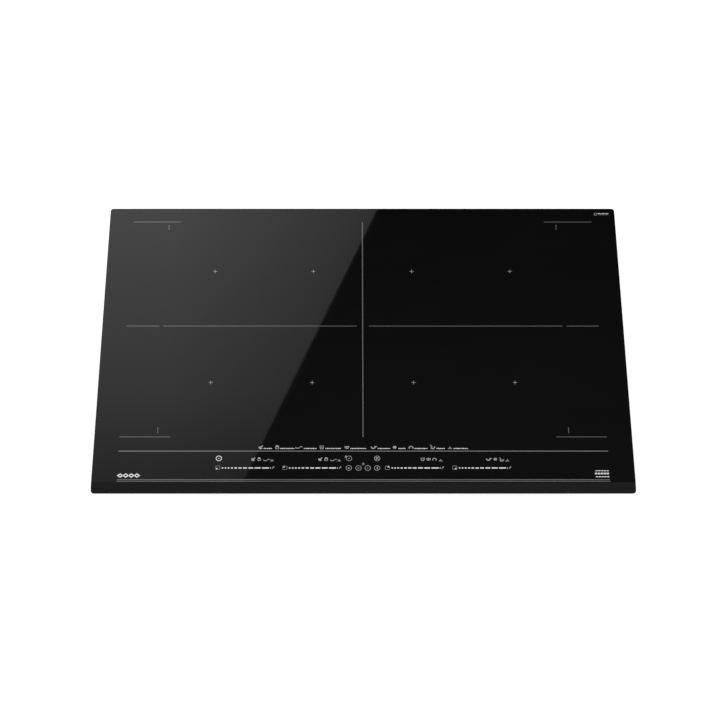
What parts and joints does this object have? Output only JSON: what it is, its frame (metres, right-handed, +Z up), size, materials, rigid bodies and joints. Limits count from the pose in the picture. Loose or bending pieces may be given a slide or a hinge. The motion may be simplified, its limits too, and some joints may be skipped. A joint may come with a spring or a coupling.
{
  "type": "induction hob",
  "caption": "Built-in induction hob: black glass top with a sloped front edge and printed touch controls, steel tray, sprung coil decks, blowers and worktop clamps.",
  "frame": {"origin": "below the middle of the glass, on the plane of the tray's underside", "axes": "+Z up out of the cooking surface, +X to the right for a person at the controls, +Y away from them; the touch controls are at -Y"},
  "size_m": [0.8, 0.51, 0.059],
  "materials": {
    "glass_ceramic": "polished black glass-ceramic, opaque, with grey screen-printed marks on top",
    "seal_foam": "self-adhesive closed-cell foam strip",
    "silicone": "satin black silicone adhesive",
    "zinc_steel": "zinc-coated sheet steel with a faint spangle",
    "spring_steel": "hardened steel, lightly oiled",
    "aluminium": "mill-finish aluminium",
    "mica": "pressed mica sheet",
    "copper_litz": "enamelled stranded copper, wound flat",
    "circuit_board": "green solder mask",
    "black_plastic": "glass-filled moulded plastic",
    "white_plastic": "off-white moulded plastic and ceramic"
  },
  "bodies": {
    "hob": {"glass_top": "glass_ceramic", "perimeter_seal": "seal_foam", "adhesive_bead": "silicone", "glass_frame": "zinc_steel", "base_tray": "zinc_steel", "electronics_carrier": "white_plastic", "heatsink_left": "aluminium", "power_board_left": "circuit_board", "fan_housing_left": "black_plastic", "deck_spring_left_inner": "spring_steel", "deck_spring_left_outer": "spring_steel", "heatsink_right": "aluminium", "power_board_right": "circuit_board", "fan_housing_right": "black_plastic", "deck_spring_right_inner": "spring_steel", "deck_spring_right_outer": "spring_steel", "filter_board": "circuit_board", "touch_board": "circuit_board", "touch_board_carrier": "white_plastic", "terminal_block": "black_plastic", "cord_grip": "black_plastic", "clamp_screw_left_front": "spring_steel", "clamp_screw_left_back": "spring_steel", "clamp_screw_right_front": "spring_steel", "clamp_screw_right_back": "spring_steel"},
    "coil_deck_left": {"deck_plate_left": "aluminium", "mica_sheet_left": "mica", "coil_former_1": "black_plastic", "coil_winding_1": "copper_litz", "temperature_sensor_1": "white_plastic", "coil_former_2": "black_plastic", "coil_winding_2": "copper_litz", "temperature_sensor_2": "white_plastic", "coil_former_5": "black_plastic", "coil_winding_5": "copper_litz", "temperature_sensor_5": "white_plastic", "coil_former_6": "black_plastic", "coil_winding_6": "copper_litz", "temperature_sensor_6": "white_plastic"},
    "fan_left": {"fan_rotor_left": "black_plastic"},
    "coil_deck_right": {"deck_plate_right": "aluminium", "mica_sheet_right": "mica", "coil_former_3": "black_plastic", "coil_winding_3": "copper_litz", "temperature_sensor_3": "white_plastic", "coil_former_4": "black_plastic", "coil_winding_4": "copper_litz", "temperature_sensor_4": "white_plastic", "coil_former_7": "black_plastic", "coil_winding_7": "copper_litz", "temperature_sensor_7": "white_plastic", "coil_former_8": "black_plastic", "coil_winding_8": "copper_litz", "temperature_sensor_8": "white_plastic"},
    "fan_right": {"fan_rotor_right": "black_plastic"},
    "clamp_left_front": {"clamp_arm_left_front": "zinc_steel"},
    "clamp_left_back": {"clamp_arm_left_back": "zinc_steel"},
    "clamp_right_front": {"clamp_arm_right_front": "zinc_steel"},
    "clamp_right_back": {"clamp_arm_right_back": "zinc_steel"},
    "lid": {"terminal_lid": "black_plastic"}
  },
  "joints": [
    {"name": "coil_deck_left_press", "type": "slide", "parent": "hob", "child": "coil_deck_left", "axis": [0, 0, 1], "range_m": [-0.003, 0], "stiffness_N_per_m": 20000, "springref_m": 0.004, "deforming": ["deck_spring_left_inner", "deck_spring_left_outer"]},
    {"name": "coil_deck_right_press", "type": "slide", "parent": "hob", "child": "coil_deck_right", "axis": [0, 0, 1], "range_m": [-0.003, 0], "stiffness_N_per_m": 20000, "springref_m": 0.004, "deforming": ["deck_spring_right_inner", "deck_spring_right_outer"]},
    {"name": "fan_left_spin", "type": "hinge", "parent": "hob", "child": "fan_left", "pos_m": [-0.24, 0.145, 0.018], "axis": [0, 0, 1], "continuous": true},
    {"name": "fan_right_spin", "type": "hinge", "parent": "hob", "child": "fan_right", "pos_m": [0.24, 0.145, 0.018], "axis": [0, 0, 1], "continuous": true},
    {"name": "clamp_left_front_swivel", "type": "hinge", "parent": "hob", "child": "clamp_left_front", "pos_m": [-0.363, -0.13, 0.0153], "axis": [0, 0, -1], "range_deg": [0, 90]},
    {"name": "clamp_left_back_swivel", "type": "hinge", "parent": "hob", "child": "clamp_left_back", "pos_m": [-0.363, 0.13, 0.0153], "axis": [0, 0, -1], "range_deg": [0, 90]},
    {"name": "clamp_right_front_swivel", "type": "hinge", "parent": "hob", "child": "clamp_right_front", "pos_m": [0.363, -0.13, 0.0153], "axis": [0, 0, 1], "range_deg": [0, 90]},
    {"name": "clamp_right_back_swivel", "type": "hinge", "parent": "hob", "child": "clamp_right_back", "pos_m": [0.363, 0.13, 0.0153], "axis": [0, 0, 1], "range_deg": [0, 90]},
    {"name": "lid_hinge", "type": "hinge", "parent": "hob", "child": "lid", "pos_m": [0.095, 0.2375, 0.0435], "axis": [1, 0, 0], "range_deg": [0, 90]}
  ]
}
